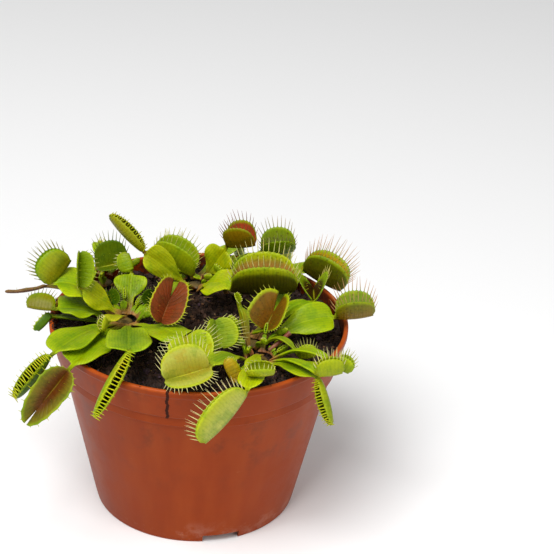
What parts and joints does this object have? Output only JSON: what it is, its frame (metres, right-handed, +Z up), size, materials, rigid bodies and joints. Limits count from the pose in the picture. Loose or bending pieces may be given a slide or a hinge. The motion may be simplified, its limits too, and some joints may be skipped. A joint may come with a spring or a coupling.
{
  "type": "potted carnivorous plant",
  "caption": "Low rosette plant with hinged, toothed leaf traps, rooted in peat in a round tapered nursery pot with a collar rim and drainage notches.",
  "frame": {"origin": "centre of the pot's foot ring, on the plane that the pot stands on", "axes": "+Z up along the pot's axis, -Y towards the side seen first, +X to its right"},
  "size_m": [0.149, 0.1449, 0.1139],
  "materials": {
    "pot_plastic": "terracotta-coloured plastic with a dull sheen",
    "peat": "damp dark peat with fibres and pale flecks",
    "crown": "pinkish-brown scaly rhizome",
    "leaf": "living leaf, waxy yellow-green with red and orange inside some traps",
    "stalk": "dry brownish-pink cut stalk"
  },
  "bodies": {
    "root": {"pot": "pot_plastic", "peat": "peat", "crown_west": "crown", "crown_north": "crown", "crown_middle": "crown", "crown_south": "crown", "crown_back_left": "crown", "crown_back": "crown", "leaf_west_high": "leaf", "leaf_west_tongue": "leaf", "leaf_west_low": "leaf", "leaf_west_spur": "leaf", "leaf_west_back": "leaf", "leaf_back_left": "leaf", "leaf_centre_fork": "leaf", "leaf_west_cross": "leaf", "leaf_rim_upper": "leaf", "leaf_rim_lower": "leaf", "leaf_front_left": "leaf", "leaf_inner_yellow": "leaf", "leaf_inner_back": "leaf", "leaf_inner_right": "leaf", "leaf_north_pod": "leaf", "leaf_north_dome": "leaf", "leaf_red_heart": "leaf", "leaf_north_upright": "leaf", "leaf_north_east": "leaf", "leaf_dome": "leaf", "leaf_east_dome": "leaf", "leaf_charred": "leaf", "leaf_far_east": "leaf", "leaf_bronze_heart": "leaf", "leaf_middle_green": "leaf", "leaf_right_curl": "leaf", "leaf_narrow_upright": "leaf", "leaf_front_big": "leaf", "leaf_yellow_closed": "leaf", "leaf_front_hanging": "leaf", "leaf_front_small": "leaf", "leaf_front_right": "leaf", "leaf_right_globe": "leaf", "leaf_right_small": "leaf", "leaf_back_rim_a": "leaf", "leaf_back_rim_b": "leaf", "leaf_back_rim_c": "leaf", "leaf_back_rim_d": "leaf", "leaf_back_rim_e": "leaf", "cut_stalk": "stalk"}
  },
  "joints": []
}
